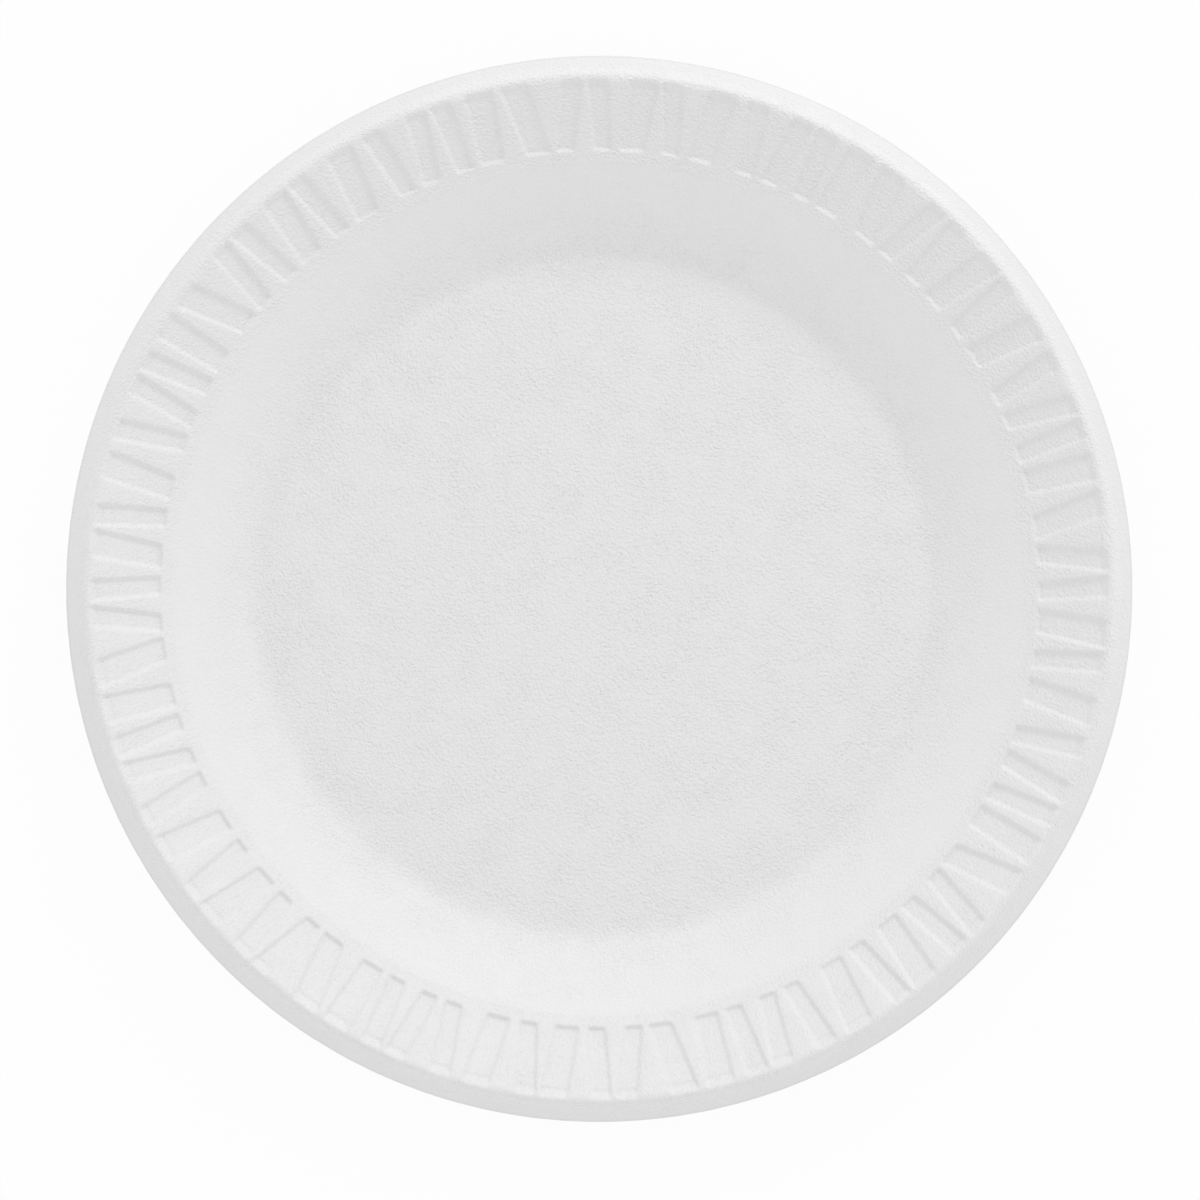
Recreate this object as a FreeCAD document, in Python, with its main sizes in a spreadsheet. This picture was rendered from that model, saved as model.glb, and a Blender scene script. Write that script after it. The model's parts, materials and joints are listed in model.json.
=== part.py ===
import FreeCAD, Part
import math
import os
import Sketcher

# A round one-piece foam plate: a flat floor, a sloping wall, a wide rim pressed
# with leaning flutes, and a turned-down lip with a trimmed edge.
# Millimetres and degrees. +Z is up, and the origin is the middle of the face
# that the plate stands on.

os.makedirs("parts", exist_ok=True)
doc = FreeCAD.newDocument("foam_plate")
sizes = doc.addObject("Spreadsheet::Sheet", "sizes")

plate_sizes = [
    ("plate_diameter", 225),
    ("sheet_thickness", 2.0),
    ("lip_width", 4.7),            # widths are seen from above, between sharp corners
    ("rim_width", 17.6),
    ("wall_width", 17.4),
    ("wall_angle", 31),            # slopes are measured from the level
    ("rim_angle", 18),
    ("lip_angle", 43.5),
    ("floor_round", 11),
    ("crest_round", 1.0),
    ("edge_round", 0.5),
]

flute_sizes = [
    ("inner_land", 2.6),           # plain rim between the mouth and the flutes
    ("outer_land", 1.1),           # and between the flutes and the crest
    ("flute_depth", 0.8),
    ("flute_draft", 40),
    ("wide_inner_width", 4.6),
    ("wide_outer_width", 5.6),
    ("narrow_inner_width", 3.3),
    ("narrow_outer_width", 4.1),
    ("tool_lead", 0.06),           # how far a block's draft runs on above the rim
    ("group_count", 8),            # the row of ten flutes repeats round the rim
]

# Lands and widths of flutes are measured half way down their drafted walls.
# The ten flutes of one group: width, place round the rim, and lean, which is
# how much further round the outer end lies than the inner end.
flute_group = [
    ("wide", 13.9, -0.2),
    ("narrow", 18.0, 0.6),
    ("narrow", 21.8, -1.1),
    ("narrow", 26.2, 1.0),
    ("wide", 31.3, -0.9),
    ("narrow", 36.2, 0.9),
    ("wide", 40.3, -1.0),
    ("narrow", 44.9, 0.6),
    ("narrow", 48.8, -1.3),
    ("wide", 53.8, 1.8),
]

rows = plate_sizes + flute_sizes
for number, (width, place, lean) in enumerate(flute_group, 1):
    rows.append((f"flute{number}_place", place))
    rows.append((f"flute{number}_lean", lean))
for row, (name, value) in enumerate(rows, 1):
    sizes.set(f"A{row}", name)
    sizes.set(f"B{row}", str(value))
    sizes.setAlias(f"B{row}", name)
doc.recompute()


# Radii and heights that follow from the sizes

EDGE_RADIUS = "(sizes.plate_diameter / 2)"
CREST_RADIUS = f"({EDGE_RADIUS} - sizes.lip_width)"
MOUTH_RADIUS = f"({CREST_RADIUS} - sizes.rim_width)"
FLOOR_RADIUS = f"({MOUTH_RADIUS} - sizes.wall_width)"
MOUTH_HEIGHT = "(sizes.sheet_thickness + sizes.wall_width * tan(sizes.wall_angle))"
CREST_HEIGHT = f"({MOUTH_HEIGHT} + sizes.rim_width * tan(sizes.rim_angle))"
EDGE_HEIGHT = f"({CREST_HEIGHT} - sizes.lip_width * tan(sizes.lip_angle))"
FLUTE_INNER_RADIUS = f"({MOUTH_RADIUS} + sizes.inner_land)"
FLUTE_OUTER_RADIUS = f"({CREST_RADIUS} - sizes.outer_land)"
FLUTE_MIDDLE_RADIUS = f"(({FLUTE_INNER_RADIUS} + {FLUTE_OUTER_RADIUS}) / 2)"
FLUTE_MIDDLE_HEIGHT = f"({MOUTH_HEIGHT} + ({FLUTE_MIDDLE_RADIUS} - {MOUTH_RADIUS}) * tan(sizes.rim_angle))"
FLUTE_HALF_LENGTH = f"(({FLUTE_OUTER_RADIUS} - {FLUTE_INNER_RADIUS}) / 2 / cos(sizes.rim_angle))"


# Helpers for bodies and sketches

ORIGIN = (-1, 1)
START, END = 1, 2


def new_body(name):
    body = doc.addObject("PartDesign::Body", name)
    body.AllowCompound = True
    return body


def origin_feature(body, role):
    return [item for item in body.Origin.OriginFeatures if item.Role == role][0]


def new_sketch(body, name, role):
    sketch = body.newObject("Sketcher::SketchObject", name)
    sketch.AttachmentSupport = [(origin_feature(body, role), "")]
    sketch.MapMode = "FlatFace"
    return sketch


def tie(sketch, kind, *places):
    sketch.addConstraint(Sketcher.Constraint(kind, *places))


def set_size(sketch, expression, kind, *places):
    value = sketch.evalExpression(expression)
    if kind == "Angle":
        value = math.radians(value)
    index = sketch.addConstraint(Sketcher.Constraint(kind, *places, value))
    sketch.setExpression(f"Constraints[{index}]", expression)


def draw_outline(sketch, corners):
    points = [FreeCAD.Vector(x, y, 0) for x, y in corners]
    for start, end in zip(points, points[1:] + points[:1]):
        sketch.addGeometry(Part.LineSegment(start, end), False)
    for line in range(len(points)):
        tie(sketch, "Coincident", line, END, (line + 1) % len(points), START)


# The section of the sheet, turned once round the axis

def under_corner(corner, before, after):
    # the corner a sheet's thickness below one where the slope turns from before to after
    middle = math.radians((before + after) / 2)
    reach = sizes.sheet_thickness / math.cos(math.radians((before - after) / 2))
    return corner[0] + reach * math.sin(middle), corner[1] - reach * math.cos(middle)


def section_corners(sketch):
    def corner(radius, height):
        return sketch.evalExpression(radius), sketch.evalExpression(height)

    floor = corner(FLOOR_RADIUS, "sizes.sheet_thickness")
    mouth = corner(MOUTH_RADIUS, MOUTH_HEIGHT)
    crest = corner(CREST_RADIUS, CREST_HEIGHT)
    edge = corner(EDGE_RADIUS, EDGE_HEIGHT)
    trimmed = corner(EDGE_RADIUS, f"{EDGE_HEIGHT} - sizes.sheet_thickness / cos(sizes.lip_angle)")
    return [
        (0, 0),
        (0, sizes.sheet_thickness),
        floor,
        mouth,
        crest,
        edge,
        trimmed,
        under_corner(crest, sizes.rim_angle, -sizes.lip_angle),
        under_corner(mouth, sizes.wall_angle, sizes.rim_angle),
        under_corner(floor, 0, sizes.wall_angle),
    ]


sheet = new_body("sheet")
section = new_sketch(sheet, "section", "XZ_Plane")
draw_outline(section, section_corners(section))
AXIS, FLOOR, WALL, RIM, LIP, EDGE, UNDER_LIP, UNDER_RIM, UNDER_WALL, BASE = range(10)
tie(section, "Coincident", AXIS, START, *ORIGIN)
tie(section, "Vertical", AXIS)
tie(section, "Vertical", EDGE)
tie(section, "Horizontal", FLOOR)
tie(section, "Horizontal", BASE)
tie(section, "Parallel", WALL, UNDER_WALL)
tie(section, "Parallel", RIM, UNDER_RIM)
tie(section, "Parallel", LIP, UNDER_LIP)
set_size(section, FLOOR_RADIUS, "DistanceX", *ORIGIN, WALL, START)
set_size(section, MOUTH_RADIUS, "DistanceX", *ORIGIN, RIM, START)
set_size(section, CREST_RADIUS, "DistanceX", *ORIGIN, LIP, START)
set_size(section, EDGE_RADIUS, "DistanceX", *ORIGIN, EDGE, START)
set_size(section, "sizes.wall_angle", "Angle", WALL)
set_size(section, "sizes.rim_angle", "Angle", RIM)
set_size(section, "-sizes.lip_angle", "Angle", LIP)
set_size(section, "sizes.sheet_thickness", "DistanceY", AXIS, START, AXIS, END)
set_size(section, "sizes.sheet_thickness", "Distance", UNDER_WALL, END, WALL)
set_size(section, "sizes.sheet_thickness", "Distance", UNDER_RIM, END, RIM)
set_size(section, "sizes.sheet_thickness", "Distance", UNDER_RIM, START, LIP)
doc.recompute()

# each round is at the end of its line, and keeps the sharp corner as a point that
# the sizes still hold
section_rounds = [
    (FLOOR, "sizes.floor_round"),
    (RIM, "sizes.crest_round"),
    (LIP, "sizes.edge_round"),
    (UNDER_WALL, "sizes.floor_round + sizes.sheet_thickness"),
]
trim_lines, keep_corner = True, True
for line, radius in section_rounds:
    section.fillet(line, END, section.evalExpression(radius), trim_lines, keep_corner)
    arc = max(index for index, item in enumerate(section.Geometry) if isinstance(item, Part.ArcOfCircle))
    set_size(section, radius, "Radius", arc)
doc.recompute()

shell = sheet.newObject("PartDesign::Revolution", "shell")
shell.Profile = section
shell.ReferenceAxis = (section, ["V_Axis"])
shell.Angle = 360
doc.recompute()


# The flutes are pressed in by blocks that stand along the rim's slope, each with
# its working edges drafted. Their sketches have x up the slope and y round the rim.

def lay_on_rim(sketch, number):
    # the sketch stands twice the lead clear of the rim, measured square to it
    turn = f"rotationz(sizes.flute{number}_place)"
    tilt = "rotationy(-sizes.rim_angle)"
    middle = f"vector({FLUTE_MIDDLE_RADIUS}; 0; {FLUTE_MIDDLE_HEIGHT})"
    raised = f"{tilt} * vector(0; 0; 2 * sizes.tool_lead)"
    sketch.setExpression(
        "AttachmentOffset",
        f"placement({turn} * ({middle} + {raised}); {turn} * {tilt})",
    )


def draw_flute(sketch, number, width):
    # the outline where the drafted walls end, a lead above the rim
    long = sketch.evalExpression(FLUTE_HALF_LENGTH)
    wide = sketch.evalExpression(f"sizes.{width}_inner_width") / 2
    draw_outline(sketch, [(-long, -wide), (long, -wide), (long, wide), (-long, wide)])
    right, outer, left, inner = range(4)
    tie(sketch, "Vertical", outer)
    tie(sketch, "Vertical", inner)
    grow = "(sizes.flute_depth / 2 + sizes.tool_lead) * tan(sizes.flute_draft)"
    set_size(sketch, f"-{FLUTE_HALF_LENGTH} - {grow}", "DistanceX", *ORIGIN, inner, START)
    set_size(sketch, f"{FLUTE_HALF_LENGTH} + {grow}", "DistanceX", *ORIGIN, outer, START)
    half_lean = f"sizes.flute{number}_lean / 2"
    inner_middle = f"-{FLUTE_INNER_RADIUS} * sin({half_lean})"
    outer_middle = f"{FLUTE_OUTER_RADIUS} * sin({half_lean})"
    inner_half = f"(sizes.{width}_inner_width / 2 + {grow})"
    outer_half = f"(sizes.{width}_outer_width / 2 + {grow})"
    set_size(sketch, f"{inner_middle} + {inner_half}", "DistanceY", *ORIGIN, inner, START)
    set_size(sketch, f"{inner_middle} - {inner_half}", "DistanceY", *ORIGIN, right, START)
    set_size(sketch, f"{outer_middle} - {outer_half}", "DistanceY", *ORIGIN, outer, START)
    set_size(sketch, f"{outer_middle} + {outer_half}", "DistanceY", *ORIGIN, left, START)


def working_edges(block, sketch):
    # the four edges of the block's lowest face
    to_sketch = sketch.Placement.inverse()
    reach = 2 * sketch.evalExpression(FLUTE_HALF_LENGTH)
    names = []
    for number, edge in enumerate(block.Shape.Edges, 1):
        ends = [to_sketch.multVec(vertex.Point) for vertex in edge.Vertexes]
        near = all(math.hypot(end.x, end.y) < reach for end in ends)
        lowest = all(abs(end.z + block.Length.Value) < 0.001 for end in ends)
        if near and lowest:
            names.append(f"Edge{number}")
    return names


def press_blocks(name, numbers):
    # each block is drafted a lead further than it goes in, so that only its
    # drafted walls meet the rim
    ring = new_body(name)
    drafted_depth = "(sizes.flute_depth + sizes.tool_lead)"
    for number in numbers:
        outline = new_sketch(ring, f"outline{number}", "XY_Plane")
        lay_on_rim(outline, number)
        draw_flute(outline, number, flute_group[number - 1][0])
        block = ring.newObject("PartDesign::Pad", f"block{number}")
        block.Profile = outline
        block.Reversed = True
        block.Refine = False
        block.setExpression("Length", "sizes.flute_depth + 2 * sizes.tool_lead")
        doc.recompute()
        drafted = ring.newObject("PartDesign::Chamfer", f"drafted{number}")
        drafted.Base = (block, working_edges(block, outline))
        drafted.ChamferType = "Two distances"
        drafted.Refine = False
        drafted.setExpression("Size", drafted_depth)
        drafted.setExpression("Size2", f"{drafted_depth} * tan(sizes.flute_draft)")
        doc.recompute()
    groups = ring.newObject("PartDesign::PolarPattern", f"{name}_groups")
    groups.TransformMode = "Whole shape"
    groups.Axis = (origin_feature(ring, "Z_Axis"), [""])
    groups.Angle = 360
    groups.Refine = False
    groups.setExpression("Occurrences", "sizes.group_count")
    ring.Tip = groups
    doc.recompute()
    return ring


def press(name, base, ring):
    pressed = doc.addObject("Part::Cut", name)
    pressed.Base = base
    pressed.Tool = ring
    doc.recompute()
    print(name, "takes away", round(base.Shape.Volume - pressed.Shape.Volume), "mm3")
    return pressed


# Neighbouring flutes come from separate rings, so that their blocks never merge.
flute_numbers = range(1, len(flute_group) + 1)
odd_blocks = press_blocks("odd_blocks", flute_numbers[0::2])
even_blocks = press_blocks("even_blocks", flute_numbers[1::2])
odd_flutes = press("odd_flutes", sheet, odd_blocks)
plate = press("plate", odd_flutes, even_blocks)
plate.Label = "plate"


# The finished piece is checked before it is written

def check_and_write(piece):
    failed = [item.Name for item in doc.Objects if {"Invalid", "Error"} & set(item.State)]
    if failed:
        raise RuntimeError(f"features that failed: {failed}")
    if piece.Shape.isNull() or not piece.Shape.isValid() or len(piece.Shape.Solids) != 1:
        raise RuntimeError(f"{piece.Label} is not one valid solid")
    piece.Shape.exportStep(f"parts/{piece.Label}.step")
    print(piece.Label, "volume", round(piece.Shape.Volume), "mm3,", len(piece.Shape.Faces), "faces")


check_and_write(plate)
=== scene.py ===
import json
import math

import bmesh
import bpy
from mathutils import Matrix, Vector


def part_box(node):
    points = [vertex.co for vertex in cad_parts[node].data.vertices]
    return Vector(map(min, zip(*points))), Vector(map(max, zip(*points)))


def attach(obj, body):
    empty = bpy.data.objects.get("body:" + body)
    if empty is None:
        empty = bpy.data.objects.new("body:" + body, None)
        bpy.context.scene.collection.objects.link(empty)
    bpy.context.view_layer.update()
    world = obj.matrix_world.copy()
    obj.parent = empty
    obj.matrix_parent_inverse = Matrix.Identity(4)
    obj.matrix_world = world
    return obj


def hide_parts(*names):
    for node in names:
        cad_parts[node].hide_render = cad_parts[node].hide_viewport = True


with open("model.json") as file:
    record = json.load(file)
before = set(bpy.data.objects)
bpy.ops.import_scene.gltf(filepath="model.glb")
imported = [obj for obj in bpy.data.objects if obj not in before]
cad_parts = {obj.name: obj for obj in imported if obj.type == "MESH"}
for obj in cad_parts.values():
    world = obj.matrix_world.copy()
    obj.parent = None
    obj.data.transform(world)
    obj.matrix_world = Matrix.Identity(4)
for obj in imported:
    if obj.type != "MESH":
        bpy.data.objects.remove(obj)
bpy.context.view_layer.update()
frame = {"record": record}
lowCorner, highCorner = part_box("plate")
mm = 0.001
print("frame loaded, plate", round((highCorner.x - lowCorner.x) / mm, 1), "mm across")


# Nodes: a Link is an output socket that sums and products can be written with

class Link:
    def __init__(self, nodes, socket):
        self.nodes = nodes
        self.socket = socket

    def __add__(self, other):
        return self.nodes.math("ADD", self, other)

    __radd__ = __add__

    def __sub__(self, other):
        return self.nodes.math("SUBTRACT", self, other)

    def __rsub__(self, other):
        return self.nodes.math("SUBTRACT", other, self)

    def __mul__(self, other):
        return self.nodes.math("MULTIPLY", self, other)

    __rmul__ = __mul__

    def __truediv__(self, other):
        return self.nodes.math("DIVIDE", self, other)


class Nodes:
    def __init__(self, tree):
        self.tree = tree

    def fill(self, socket, value):
        if isinstance(value, Link):
            self.tree.links.new(value.socket, socket)
        else:
            socket.default_value = value

    def add(self, kind, settings=None, sockets=None, out=0):
        node = self.tree.nodes.new(kind)
        for name, value in (settings or {}).items():
            setattr(node, name, value)
        for name, value in (sockets or {}).items():
            self.fill(node.inputs[name], value)
        return Link(self, node.outputs[out]) if len(node.outputs) else node

    def math(self, operation, *values):
        return self.add("ShaderNodeMath", {"operation": operation}, dict(enumerate(values)))

    def clip(self, value):
        return self.add("ShaderNodeClamp", None, {"Value": value})

    def ease(self, value, start, end):
        # 0 before start and 1 past end, with a soft turn at both
        sockets = {"Value": value, "From Min": start, "From Max": end}
        return self.add("ShaderNodeMapRange", {"interpolation_type": "SMOOTHSTEP"}, sockets)


# The plate's section: widths seen from above, slopes from the level, and each round
# as its radius and the number of steps round it

section = {
    "sheet": 2.0 * mm,
    "lipWidth": 4.85 * mm,
    "rimWidth": 17.45 * mm,
    "wallWidth": 17.4 * mm,
    "wallSlope": math.radians(31),
    "rimSlope": math.radians(18),
    "lipSlope": math.radians(-42.3),
    "lipHollow": 0.3 * mm,         # how far the lip sags below a straight slope
    "lipRound": (8 * mm, 3),
    "floorRound": (13 * mm, 7),
    "mouthRound": (2.5 * mm, 3),
    "crestRound": (2.3 * mm, 9),
    "edgeRound": (0.5 * mm, 5),
    "underEdgeRound": (0.3 * mm, 3),
    "crestHollow": (1.2 * mm, 5),  # the round under the crest
    "floorShare": 0.5,             # a ring lies this far out on the floor
    "floorMargin": 4.5 * mm,       # and another this far inside its corner
    "wallShares": (0.3, 0.6, 0.9),
    "underWallShares": (0.7, 0.4),
    "rimShares": (0.25, 0.5, 0.75),
    "ringGap": 0.1 * mm,           # rings nearer to a round than this are left out
}

# Ten flutes make a group: place round the rim and lean, both in degrees, where lean
# is how much further round the outer end lies
flutes = {
    "groups": 8,
    "innerLand": 2.6 * mm,
    "outerLand": 0.95 * mm,
    "depth": 0.8 * mm,
    "underRelief": 0.25 * mm,
    "groove": 0.2,                 # how much deeper each flute gets before its outer wall
    "grooveStart": 1.8,            # half walls inside the end where that begins
    "brow": 0.72 * mm,             # a side wall reaches from here outside the edge
    "foot": 0.45 * mm,             # to here inside it
    "landLimit": 0.48,             # but never over more than this share of the land
    "innerWall": 1.2 * mm,
    "outerWall": 1.9 * mm,
    "wide": (4.6 * mm, 5.6 * mm),
    "narrow": (3.3 * mm, 4.1 * mm),
    "row": [
        ("wide", 13.9, -0.2),
        ("narrow", 18.0, 0.6),
        ("narrow", 21.8, -1.1),
        ("narrow", 26.2, 1.0),
        ("wide", 31.3, -0.9),
        ("narrow", 36.2, 0.9),
        ("wide", 40.3, -1.0),
        ("narrow", 44.9, 0.6),
        ("narrow", 48.8, -1.3),
        ("wide", 53.8, 1.8),
    ],
    "wallSteps": (0, 0.2, 0.4, 0.6, 0.8, 1, 1.2),    # lines across each side wall
    "landShares": (0.3, 0.7),      # and across the land before it
    "innerSteps": (-0.2, 0, 0.2, 0.4, 0.6, 0.8, 1, 1.2),
    "outerSteps": (-0.53, -0.4, -0.24, -0.1, 0, 0.2),
    "underSteps": (-0.2, 0.05, 0.5, 0.95, 1.2),
    "plainStep": 5,                # on the floor, wall and lip one line in five is enough
    "plainInside": 82 * mm,
    "plainOutside": 108.9 * mm,
    "weld": 0.001 * mm,
}

edgeRadius = highCorner.x
crestRadius = edgeRadius - section["lipWidth"]
mouthRadius = crestRadius - section["rimWidth"]
floorRadius = mouthRadius - section["wallWidth"]
fluteInner = mouthRadius + flutes["innerLand"]
fluteOuter = crestRadius - flutes["outerLand"]


def along(start, slope):
    # the straight run through a point, as a height for any radius
    return lambda radius: start.y + (radius - start.x) * math.tan(slope)


def under(corner, before, after):
    # the corner a sheet's thickness below one where the slope turns
    middle = (before + after) / 2
    reach = section["sheet"] / math.cos((before - after) / 2)
    return corner + Vector((math.sin(middle), -math.cos(middle))) * reach


def rounded(before, corner, after, size):
    radius, steps = size
    inward = (corner - before).normalized()
    outward = (after - corner).normalized()
    half = inward.angle(outward) / 2
    middle = (outward - inward).normalized()
    forward = (outward + inward).normalized()
    centre = corner + middle * (radius / math.cos(half))
    points = []
    for step in range(steps + 1):
        turn = half * (2 * step / steps - 1)
        points.append(centre - middle * (radius * math.cos(turn)) + forward * (radius * math.sin(turn)))
    return points


def outside(size):
    # the round on the far side of the sheet
    radius, steps = size
    return radius + section["sheet"], steps


def wallRings(centre, width, steps):
    return [centre + (step - 0.5) * width for step in steps]


def plateRings():
    # points of the section from the middle of the floor, over the rim and back below
    s = section
    wall, rim, lip = s["wallSlope"], s["rimSlope"], s["lipSlope"]
    centre = Vector((0, s["sheet"]))
    floor = Vector((floorRadius, s["sheet"]))
    mouth = Vector((mouthRadius, along(floor, wall)(mouthRadius)))
    crest = Vector((crestRadius, along(mouth, rim)(crestRadius)))
    edge = Vector((edgeRadius, along(crest, lip)(edgeRadius)))
    flare = (crest + edge) / 2 - Vector((0, s["lipHollow"]))
    trimmed = edge - Vector((0, s["sheet"] / math.cos(lip)))
    underCrest = under(crest, rim, lip)
    underMouth = under(mouth, wall, rim)
    underFloor = under(floor, 0, wall)
    base = Vector((0, 0))

    def run(line, radii):
        return [Vector((radius, line(radius))) for radius in radii]

    topWall = along(floor, wall)
    topRim = along(mouth, rim)
    lowWall = along(underFloor, wall)
    lowRim = along(underMouth, rim)
    floorRadii = [floorRadius * s["floorShare"], floorRadius - s["floorMargin"]]
    middleRadii = [fluteInner + (fluteOuter - fluteInner) * share for share in s["rimShares"]]
    innerEnd, outerEnd = flutes["innerWall"], flutes["outerWall"]
    top = [centre]
    top += run(along(floor, 0), floorRadii)
    top += rounded(centre, floor, mouth, s["floorRound"])
    top += run(topWall, [floorRadius + s["wallWidth"] * share for share in s["wallShares"]])
    top += rounded(floor, mouth, crest, s["mouthRound"])
    top += run(topRim, wallRings(fluteInner, innerEnd, flutes["innerSteps"]))
    top += run(topRim, middleRadii)
    crestArc = rounded(mouth, crest, flare, s["crestRound"])
    outerRadii = wallRings(fluteOuter, outerEnd, flutes["outerSteps"])
    top += run(topRim, [radius for radius in outerRadii if radius < crestArc[0].x - s["ringGap"]])
    top += crestArc
    top += rounded(crest, flare, edge, s["lipRound"])
    top += rounded(flare, edge, trimmed, s["edgeRound"])
    low = rounded(edge, trimmed, underCrest, s["underEdgeRound"])
    low += rounded(trimmed, underCrest, underMouth, s["crestHollow"])
    lowRadii = wallRings(fluteOuter, outerEnd, flutes["underSteps"]) + middleRadii
    lowRadii += wallRings(fluteInner, innerEnd, flutes["underSteps"])
    hollow = low[-1].x - s["ringGap"]
    low += run(lowRim, sorted((radius for radius in lowRadii if radius < hollow), reverse=True))
    low += rounded(underCrest, underMouth, underFloor, outside(s["mouthRound"]))
    low += run(lowWall, [floorRadius + s["wallWidth"] * share for share in s["underWallShares"]])
    low += rounded(underMouth, underFloor, base, outside(s["floorRound"]))
    low += run(along(base, 0), floorRadii[::-1])
    low.append(base)
    press = [flutes["depth"]] * len(top) + [flutes["underRelief"]] * len(low)
    return top + low, press


def fluteLines():
    # the lines of one group: bearings at the flutes' inner and outer ends, and how
    # far down the side wall each line lies
    radii = fluteInner, fluteOuter

    def line(flute, side, offsets):
        # the line that runs at these distances outside a flute's edge
        width, middle, lean = flute
        turns = -math.radians(lean) / 2, math.radians(lean) / 2
        halves = [size / 2 + offset for size, offset in zip(flutes[width], offsets)]
        return [math.radians(middle) + turn + side * math.asin(half / radius)
                for turn, half, radius in zip(turns, halves, radii)]

    def brows(left, right):
        # the reach of two walls into the land between them, which may be narrow
        edges = zip(line(left, 1, (0, 0)), line(right, -1, (0, 0)), radii)
        return [min(flutes["brow"], flutes["landLimit"] * radius * (end - start))
                for start, end, radius in edges]

    def wall(flute, side, reach, step):
        return line(flute, side, [top - step * (top + flutes["foot"]) for top in reach])

    def between(first, second, share):
        return [a + (b - a) * share for a, b in zip(first, second)]

    row = flutes["row"]
    width, middle, lean = row[-1]
    before = (width, middle - 360 / flutes["groups"], lean)
    reaches = [brows(left, right) for left, right in zip([before] + row, row)]
    lines = []
    for number, flute in enumerate(row):
        reach, nextReach = reaches[number], reaches[(number + 1) % len(row)]
        land = wall(before, 1, reach, 0), wall(flute, -1, reach, 0)
        lines += [(between(*land, share), 0) for share in flutes["landShares"]]
        lines += [(wall(flute, -1, reach, step), min(step, 1)) for step in flutes["wallSteps"]]
        lines += [(wall(flute, 1, nextReach, step), min(step, 1)) for step in flutes["wallSteps"][::-1]]
        before = flute
    (inner, outer), share = lines[0]
    turn = math.tau / flutes["groups"]
    lines.append(((inner + turn, outer + turn), share))
    return {
        "inner": [bearings[0] for bearings, share in lines],
        "outer": [bearings[1] for bearings, share in lines],
        "share": [share for bearings, share in lines],
    }


def addTable(name, count, columns):
    # a mesh of loose points whose attributes the node tree reads by index
    mesh = bpy.data.meshes.new(name)
    mesh.from_pydata([(0, 0, 0)] * count, [], [])
    for column, values in columns.items():
        mesh.attributes.new(column, "FLOAT", "POINT").data.foreach_set("value", values)
    table = bpy.data.objects.new(name, mesh)
    bpy.context.scene.collection.objects.link(table)
    return table


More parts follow.
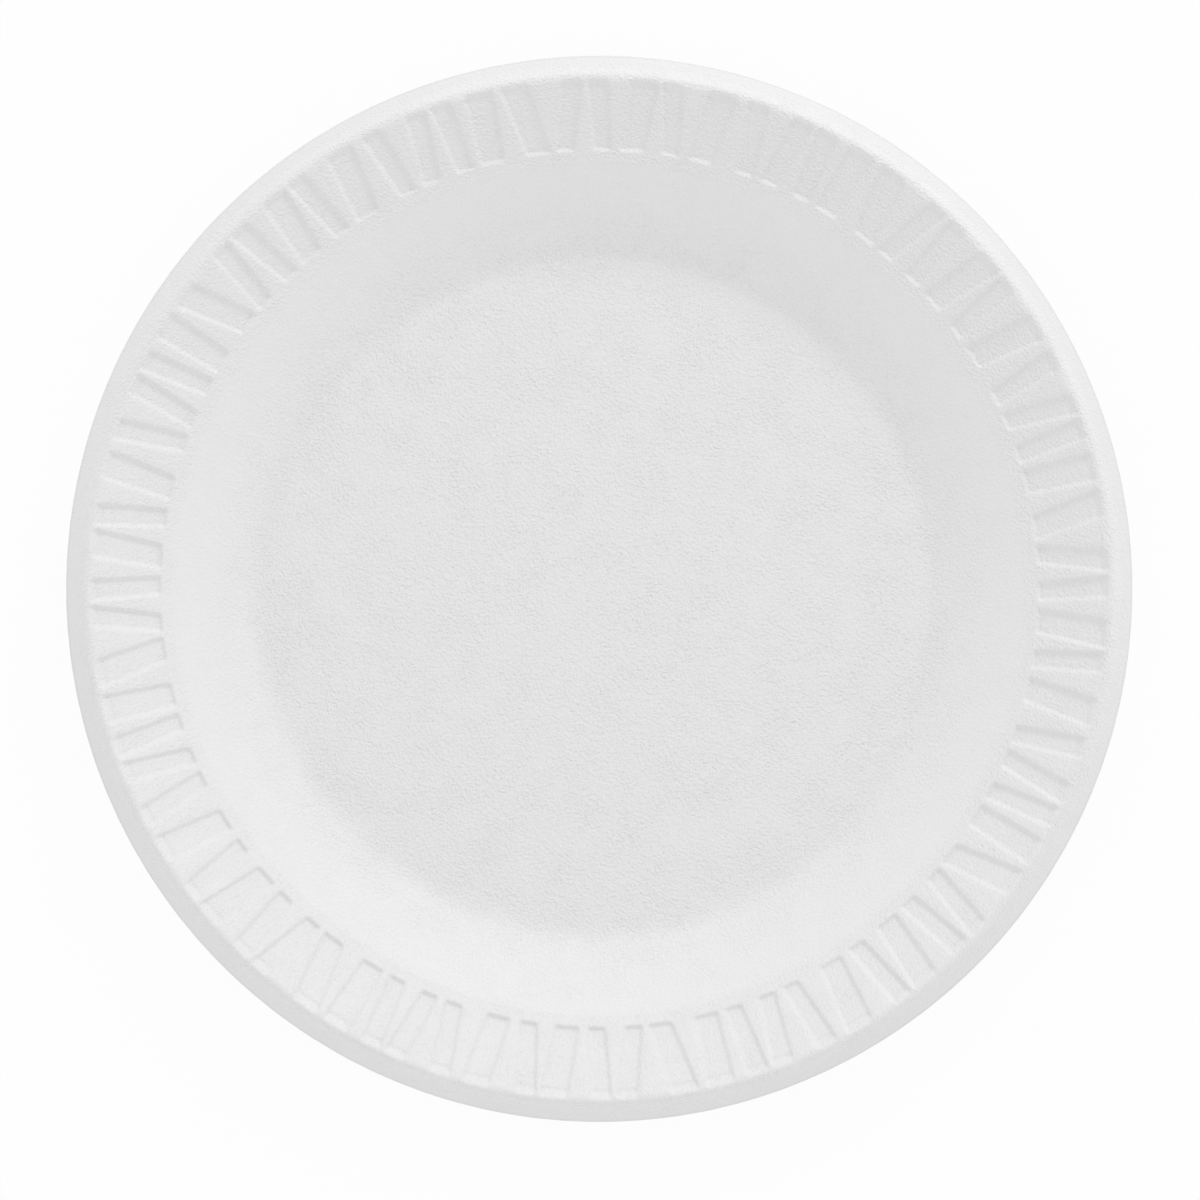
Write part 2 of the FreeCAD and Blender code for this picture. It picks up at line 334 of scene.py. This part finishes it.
def plateTree(inputs):
    tree = bpy.data.node_groups.new("pressedPlate", "GeometryNodeTree")
    tree.interface.new_socket("Geometry", in_out="OUTPUT", socket_type="NodeSocketGeometry")
    for name, kind in inputs.items():
        tree.interface.new_socket(name, in_out="INPUT", socket_type=kind)
    n = Nodes(tree)
    entry = tree.nodes.new("NodeGroupInput")
    given = {name: Link(n, entry.outputs[name]) for name in inputs}

    # one group of flutes as a flat grid, rings one way and lines the other
    tables = {}
    counts = {}
    for name in ("Rings", "Lines"):
        tables[name] = n.add("GeometryNodeObjectInfo", None, {"Object": given[name]}, "Geometry")
        sized = {"Geometry": tables[name]}
        counts[name] = n.add("GeometryNodeAttributeDomainSize", {"component": "MESH"}, sized, "Point Count")
    counted = {"Vertices X": counts["Rings"], "Vertices Y": counts["Lines"]}
    grid = n.add("GeometryNodeMeshGrid", None, counted, "Mesh")
    index = n.add("GeometryNodeInputIndex")
    ring = n.math("FLOOR", (index + 0.5) / counts["Lines"])
    line = index - ring * counts["Lines"]

    def column(table, name, at):
        read = n.add("GeometryNodeInputNamedAttribute", {"data_type": "FLOAT"}, {"Name": name})
        sockets = {"Geometry": tables[table], "Value": read, "Index": at}
        return n.add("GeometryNodeSampleIndex", {"data_type": "FLOAT"}, sockets)

    radius = column("Rings", "radius", ring)
    height = column("Rings", "height", ring)
    press = column("Rings", "press", ring)

    # each line runs straight along its flute and keeps its bearing past the ends
    innerEnd, outerEnd = given["Inner End"], given["Outer End"]
    onFlute = n.math("MINIMUM", n.math("MAXIMUM", radius, innerEnd), outerEnd)
    travel = (onFlute - innerEnd) / (outerEnd - innerEnd)
    inner = column("Lines", "inner", line)
    outer = column("Lines", "outer", line)
    middle = (inner + outer) * 0.5
    innerSide = innerEnd * n.math("SINE", inner - middle)
    outerSide = outerEnd * n.math("SINE", outer - middle)
    side = innerSide + (outerSide - innerSide) * travel
    bearing = middle + n.math("ARCSINE", side / onFlute)

    # pressed down inside the flute, with a soft wall at each end and round corners
    # at the outer one
    innerHalf, outerHalf = given["Inner Wall"] * 0.5, given["Outer Wall"] * 0.5
    entered = n.ease(radius, innerEnd - innerHalf, innerEnd + innerHalf)
    fromSide = 1 - column("Lines", "share", line)
    fromEnd = n.clip((radius - outerEnd) / given["Outer Wall"] + 0.5)
    corner = n.math("SQRT", fromSide * fromSide + fromEnd * fromEnd)
    grooveStart = outerEnd - outerHalf * flutes["grooveStart"]
    deeper = n.ease(radius, grooveStart, outerEnd - outerHalf) * given["Groove"] + 1
    sunk = press * entered * (1 - n.ease(corner, 0, 1)) * deeper
    place = n.add("ShaderNodeCombineXYZ", None, {
        "X": radius * n.math("COSINE", bearing),
        "Y": radius * n.math("SINE", bearing),
        "Z": height - sunk,
    })
    sector = n.add("GeometryNodeSetPosition", None, {"Geometry": grid, "Position": place})
    numbered = {"Geometry": sector, "Name": "line", "Value": line}
    sector = n.add("GeometryNodeStoreNamedAttribute", {"data_type": "INT", "domain": "POINT"}, numbered)

    # the group repeats round the axis, and its copies join line to line
    turn = n.add("ShaderNodeCombineXYZ", None, {"Z": index * math.tau / given["Groups"]})
    turned = n.add("FunctionNodeEulerToRotation", None, {0: turn})
    axis = n.add("GeometryNodePoints", None, {"Count": given["Groups"]})
    around = {"Points": axis, "Instance": sector, "Rotation": turned}
    whole = n.add("GeometryNodeInstanceOnPoints", None, around)
    whole = n.add("GeometryNodeRealizeInstances", None, {"Geometry": whole})
    whole = n.add("GeometryNodeMergeByDistance", None, {"Geometry": whole, "Distance": flutes["weld"]})
    whole = n.add("GeometryNodeSetShadeSmooth", None, {"Geometry": whole})
    whole = n.add("GeometryNodeSetMaterial", None, {"Geometry": whole, "Material": given["Material"]})
    n.add("NodeGroupOutput", None, {"Geometry": whole})
    return tree


def thinLines(mesh):
    # the plain floor, wall and lip need far fewer lines than the rim
    form = bmesh.new()
    form.from_mesh(mesh)
    line = form.verts.layers.int["line"]

    def spare(edge):
        near, far = sorted(vert.co.xy.length for vert in edge.verts)
        plain = far < flutes["plainInside"] or near > flutes["plainOutside"]
        first, second = (vert[line] for vert in edge.verts)
        return plain and first == second and first % flutes["plainStep"]
    bmesh.ops.dissolve_edges(form, edges=[edge for edge in form.edges if spare(edge)], use_verts=True)
    form.to_mesh(mesh)
    form.free()
    mesh.attributes.remove(mesh.attributes["line"])


def buildPlate(material):
    points, press = plateRings()
    rings = addTable("plateRings", len(points), {
        "radius": [point.x for point in points],
        "height": [point.y for point in points],
        "press": press,
    })
    columns = fluteLines()
    lines = addTable("fluteLines", len(columns["share"]), columns)
    values = {
        "Rings": ("NodeSocketObject", rings),
        "Lines": ("NodeSocketObject", lines),
        "Groups": ("NodeSocketInt", flutes["groups"]),
        "Inner End": ("NodeSocketFloat", fluteInner),
        "Outer End": ("NodeSocketFloat", fluteOuter),
        "Inner Wall": ("NodeSocketFloat", flutes["innerWall"]),
        "Outer Wall": ("NodeSocketFloat", flutes["outerWall"]),
        "Groove": ("NodeSocketFloat", flutes["groove"]),
        "Material": ("NodeSocketMaterial", material),
    }
    plate = bpy.data.objects.new("foamPlate", bpy.data.meshes.new("foamPlate"))
    bpy.context.scene.collection.objects.link(plate)
    maker = plate.modifiers.new("press", "NODES")
    maker.node_group = plateTree({name: kind for name, (kind, value) in values.items()})
    for socket in maker.node_group.interface.items_tree:
        if socket.name in values:
            maker[socket.identifier] = values[socket.name][1]
    seen = plate.evaluated_get(bpy.context.evaluated_depsgraph_get())
    plate.data = bpy.data.meshes.new_from_object(seen)
    plate.modifiers.remove(maker)
    for table in (rings, lines):
        bpy.data.objects.remove(table)
    thinLines(plate.data)
    plate.data.materials.pop(index=0)
    triangles = sum(len(face.vertices) - 2 for face in plate.data.polygons)
    lineCount = len(columns["share"]) - 1
    print("plate pressed,", len(points), "rings,", lineCount, "lines a group,", triangles, "triangles")
    return plate


# Foam: a white satin skin. Each list below gives places as millimetres past a corner
# of the section, and the value reached there. It turns softly from one to the next.

corners = {"floor": floorRadius, "mouth": mouthRadius, "crest": crestRadius, "edge": edgeRadius}

foam = {
    "colour": frame["record"]["materials"][0]["base_color"],
    "roughness": 0.5,
    "roughnessSpread": 0.12,
    # painted shade and light by radius: greyer in the floor's corner and at the trimmed edge, lighter on
    # the lip past the crest
    "paintedShadingTone": [
        ("floor", -4.2, 1.0), ("floor", -0.5, 0.98), ("floor", 3.7, 1.005),
        ("crest", -0.65, 1.005), ("crest", 1.35, 1.015),
        ("edge", -1.5, 0.99), ("edge", -0.7, 0.99), ("edge", -0.2, 0.94),
    ],
    "rimSwell": math.radians(10),  # past the mouth the skin shades as if it rose so much more
    "swellStart": 1.5 * mm,
    "mottleSize": 4 * mm,
    "mottleStrength": 0.03,
    "grainSize": 0.55 * mm,
    "grainDepth": 0.4 * mm,
    "grain": [
        ("floor", -1.8, 1.0), ("floor", 4.2, 0.78),
        ("mouth", -6.2, 0.5), ("mouth", -1.7, 0.42), ("mouth", 0.8, 0.72),
        ("crest", -1.15, 0.72), ("crest", 0.35, 0.9),
        ("edge", -3, 0.75), ("edge", -1.5, 0.48),
    ],
    "patchSize": 7 * mm,
    "patchStrength": 0.9,
    "pitSpacing": 5 * mm,
    "pitRadius": 0.28 * mm,
    "pitDepth": 0.05 * mm,
    "pitShare": 0.3,               # how many of the places for a pit have one
}


def foamMaterial():
    material = bpy.data.materials.new("foamSkin")
    material.use_nodes = True
    material.node_tree.nodes.clear()
    n = Nodes(material.node_tree)
    place = n.add("ShaderNodeTexCoord", out="Object")
    flat = n.add("ShaderNodeVectorMath", {"operation": "MULTIPLY"}, {0: place, 1: (1, 1, 0)})
    radius = n.add("ShaderNodeVectorMath", {"operation": "LENGTH"}, {0: flat}, "Value")

    def byRadius(places):
        stops = [(corners[corner] + past * mm, value) for corner, past, value in places]
        value = stops[0][1]
        for (start, before), (end, after) in zip(stops, stops[1:]):
            value = n.ease(radius, start, end) * (after - before) + value
        return value

    def noise(size, detail):
        # centred on 0
        sockets = {"Vector": place, "Scale": 1 / size, "Detail": detail}
        return n.add("ShaderNodeTexNoise", None, sockets) - 0.5

    # white, with painted shade and light: greyer in the floor's corner and toward the trimmed edge, a touch
    # lighter on the lip past the crest, and a faint random mottle
    mottle = noise(foam["mottleSize"], detail=2.0) * foam["mottleStrength"]
    paintedShadingTone = byRadius(foam["paintedShadingTone"]) + mottle
    colour = n.add("ShaderNodeVectorMath", {"operation": "SCALE"}, {0: foam["colour"], "Scale": paintedShadingTone})
    roughness = noise(foam["patchSize"], detail=3.0) * foam["roughnessSpread"] + foam["roughness"]

    # fine grain that comes and goes in patches, deep on the floor and faint where the
    # sheet is stretched, and a few small pits
    patches = noise(foam["patchSize"], detail=1.0) * foam["patchStrength"] + 1
    grain = noise(foam["grainSize"], detail=1.5) * byRadius(foam["grain"]) * patches
    cells = {"Vector": place, "Scale": 1 / foam["pitSpacing"]}
    fromPit = n.add("ShaderNodeTexVoronoi", None, cells, "Distance") * foam["pitSpacing"]
    cellColour = n.add("ShaderNodeTexVoronoi", None, cells, "Color")
    chance = n.add("ShaderNodeSeparateColor", None, {0: cellColour})
    pit = (1 - n.ease(fromPit, 0, foam["pitRadius"])) * n.math("LESS_THAN", chance, foam["pitShare"])
    pastMouth = n.math("SMOOTH_MAX", radius, mouthRadius, foam["swellStart"])
    swell = pastMouth * math.tan(foam["rimSwell"])
    height = swell + (grain * foam["grainDepth"] - pit * foam["pitDepth"])
    normal = n.add("ShaderNodeBump", None, {"Strength": 1.0, "Distance": 1.0, "Height": height})
    skin = n.add("ShaderNodeBsdfPrincipled", None, {
        "Base Color": colour,
        "Roughness": roughness,
        "Normal": normal,
    })
    n.add("ShaderNodeOutputMaterial", None, {"Surface": skin})
    return material


# Stage: a white floor that keeps a faint shadow, soft lamps and the camera

stage = {
    "floorColour": 0.9,
    "floorGlow": 0.95,             # how much of the floor shows as plain white
    "floorDrop": 0.1 * mm,         # keeps it out of the face that the plate stands on
    "floorReach": 3,
    "ambient": 0.787,
    "horizonGlow": 0.25,           # how much brighter the studio is level with the table
    "key": {
        "bearing": 22.5,           # clockwise from +Y, in degrees
        "height": 27,
        "distance": 1.6,
        "size": 0.48,
        "power": 5.15,
    },
    "viewDistance": 0.9,
    "aim": (0.15 * mm, -2.36 * mm),
    "frameWidth": 251.95 * mm,     # what the picture takes in at the rim's height
}


def bearingPoint(bearing, height, distance):
    turn, rise = math.radians(bearing), math.radians(height)
    flat = distance * math.cos(rise)
    return Vector((flat * math.sin(turn), flat * math.cos(turn), distance * math.sin(rise)))


def seenBy(n):
    # 1 for what the camera, a mirror or a glass looks at
    path = n.tree.nodes.new("ShaderNodeLightPath")
    camera, mirror, glass = (
        Link(n, path.outputs[name])
        for name in ("Is Camera Ray", "Is Glossy Ray", "Is Transmission Ray")
    )
    return n.math("MINIMUM", camera + mirror + glass, 1)


def setWorld():
    world = bpy.data.worlds.new("studio")
    world.use_nodes = True
    world.node_tree.nodes.clear()
    n = Nodes(world.node_tree)
    toward = n.add("ShaderNodeTexCoord", out="Generated")
    low = n.clip(1 - n.add("ShaderNodeSeparateXYZ", None, {0: toward}, "Z"))
    level = low * low * stage["horizonGlow"] + stage["ambient"]
    dim = n.add("ShaderNodeBackground", None, {"Color": (1, 1, 1, 1), "Strength": level})
    white = n.add("ShaderNodeBackground", None, {"Color": (1, 1, 1, 1), "Strength": 1})
    shown = n.add("ShaderNodeMixShader", None, {0: seenBy(n), 1: dim, 2: white})
    n.add("ShaderNodeOutputWorld", None, {0: shown})
    bpy.context.scene.world = world


def addFloor():
    reach, level = stage["floorReach"], -stage["floorDrop"]
    square = [(x * reach, y * reach, level) for x, y in ((-1, -1), (1, -1), (1, 1), (-1, 1))]
    mesh = bpy.data.meshes.new("floor")
    mesh.from_pydata(square, [], [(0, 1, 2, 3)])
    floor = bpy.data.objects.new("floor", mesh)
    bpy.context.scene.collection.objects.link(floor)
    material = bpy.data.materials.new("paperFloor")
    material.use_nodes = True
    material.node_tree.nodes.clear()
    n = Nodes(material.node_tree)
    grey = stage["floorColour"]
    paper = n.add("ShaderNodeBsdfDiffuse", None, {"Color": (grey, grey, grey, 1)})
    white = n.add("ShaderNodeEmission", None, {"Color": (1, 1, 1, 1), "Strength": 1})
    shown = n.add("ShaderNodeMixShader", None, {0: seenBy(n) * stage["floorGlow"], 1: paper, 2: white})
    n.add("ShaderNodeOutputMaterial", None, {"Surface": shown})
    mesh.materials.append(material)


def addLamp(name, settings):
    lamp = bpy.data.lights.new(name, "AREA")
    lamp.shape = "DISK"
    lamp.size = settings["size"]
    lamp.energy = settings["power"]
    holder = bpy.data.objects.new(name, lamp)
    bpy.context.scene.collection.objects.link(holder)
    holder.location = bearingPoint(settings["bearing"], settings["height"], settings["distance"])
    holder.rotation_euler = holder.location.to_track_quat("Z", "Y").to_euler()


def addCamera():
    # straight above the plate, with +Y up the picture
    lens = bpy.data.cameras.new("camera")
    lens.sensor_width = 36
    lens.lens = lens.sensor_width * stage["viewDistance"] / stage["frameWidth"]
    camera = bpy.data.objects.new("camera", lens)
    bpy.context.scene.collection.objects.link(camera)
    camera.location = (*stage["aim"], highCorner.z + stage["viewDistance"])
    bpy.context.scene.camera = camera


bpy.context.scene.view_settings.view_transform = "Standard"
plate = buildPlate(foamMaterial())
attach(plate, "root")
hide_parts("plate")

setWorld()
addFloor()
addLamp("keyLamp", stage["key"])
addCamera()
print("stage set")
